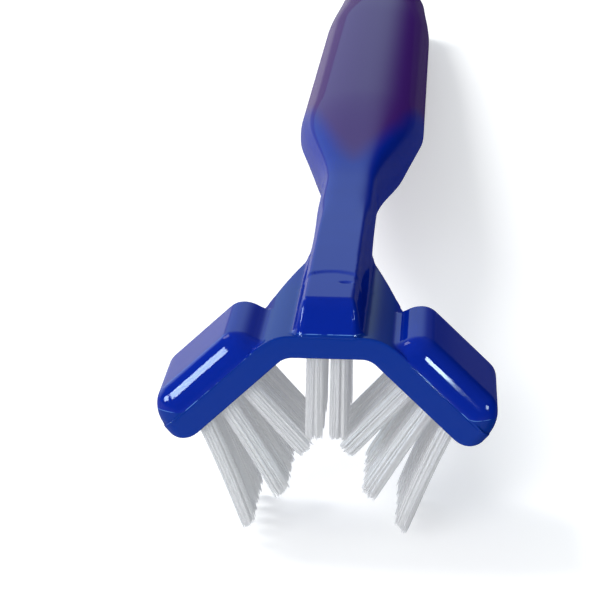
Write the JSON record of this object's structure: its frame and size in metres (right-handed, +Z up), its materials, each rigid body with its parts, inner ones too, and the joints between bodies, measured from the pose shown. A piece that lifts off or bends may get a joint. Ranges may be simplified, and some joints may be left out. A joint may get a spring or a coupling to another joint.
{
  "type": "three-sided toothbrush",
  "caption": "One-piece manual toothbrush whose head bends into a crown and two wings, so that its tufts brush the top and both sides of a tooth together.",
  "frame": {"origin": "below the middle of the brush, on the surface that it lies on", "axes": "+Y along the brush from the nose of the head to the tail, +Z up, away from the bristle tips"},
  "size_m": [0.0262, 0.1852, 0.0196],
  "materials": {
    "body": "polished blue moulding that fades to violet along the handle",
    "nylon": "clear drawn filament, cut and end-rounded",
    "anchor": "bright flattened nickel-silver wire"
  },
  "bodies": {
    "root": {"brush_body": "body", "left_bristles": "nylon", "crown_bristles": "nylon", "right_bristles": "nylon", "anchor_left_inner_1": "anchor", "anchor_left_inner_2": "anchor", "anchor_left_inner_3": "anchor", "anchor_left_inner_4": "anchor", "anchor_left_inner_5": "anchor", "anchor_left_middle_1": "anchor", "anchor_left_middle_2": "anchor", "anchor_left_middle_3": "anchor", "anchor_left_middle_4": "anchor", "anchor_left_middle_5": "anchor", "anchor_left_outer_1": "anchor", "anchor_left_outer_2": "anchor", "anchor_left_outer_3": "anchor", "anchor_left_outer_4": "anchor", "anchor_left_outer_5": "anchor", "anchor_crown_left_1": "anchor", "anchor_crown_left_2": "anchor", "anchor_crown_left_3": "anchor", "anchor_crown_left_4": "anchor", "anchor_crown_left_5": "anchor", "anchor_crown_right_1": "anchor", "anchor_crown_right_2": "anchor", "anchor_crown_right_3": "anchor", "anchor_crown_right_4": "anchor", "anchor_crown_right_5": "anchor", "anchor_right_inner_1": "anchor", "anchor_right_inner_2": "anchor", "anchor_right_inner_3": "anchor", "anchor_right_inner_4": "anchor", "anchor_right_inner_5": "anchor", "anchor_right_middle_1": "anchor", "anchor_right_middle_2": "anchor", "anchor_right_middle_3": "anchor", "anchor_right_middle_4": "anchor", "anchor_right_middle_5": "anchor", "anchor_right_outer_1": "anchor", "anchor_right_outer_2": "anchor", "anchor_right_outer_3": "anchor", "anchor_right_outer_4": "anchor", "anchor_right_outer_5": "anchor"}
  },
  "joints": []
}
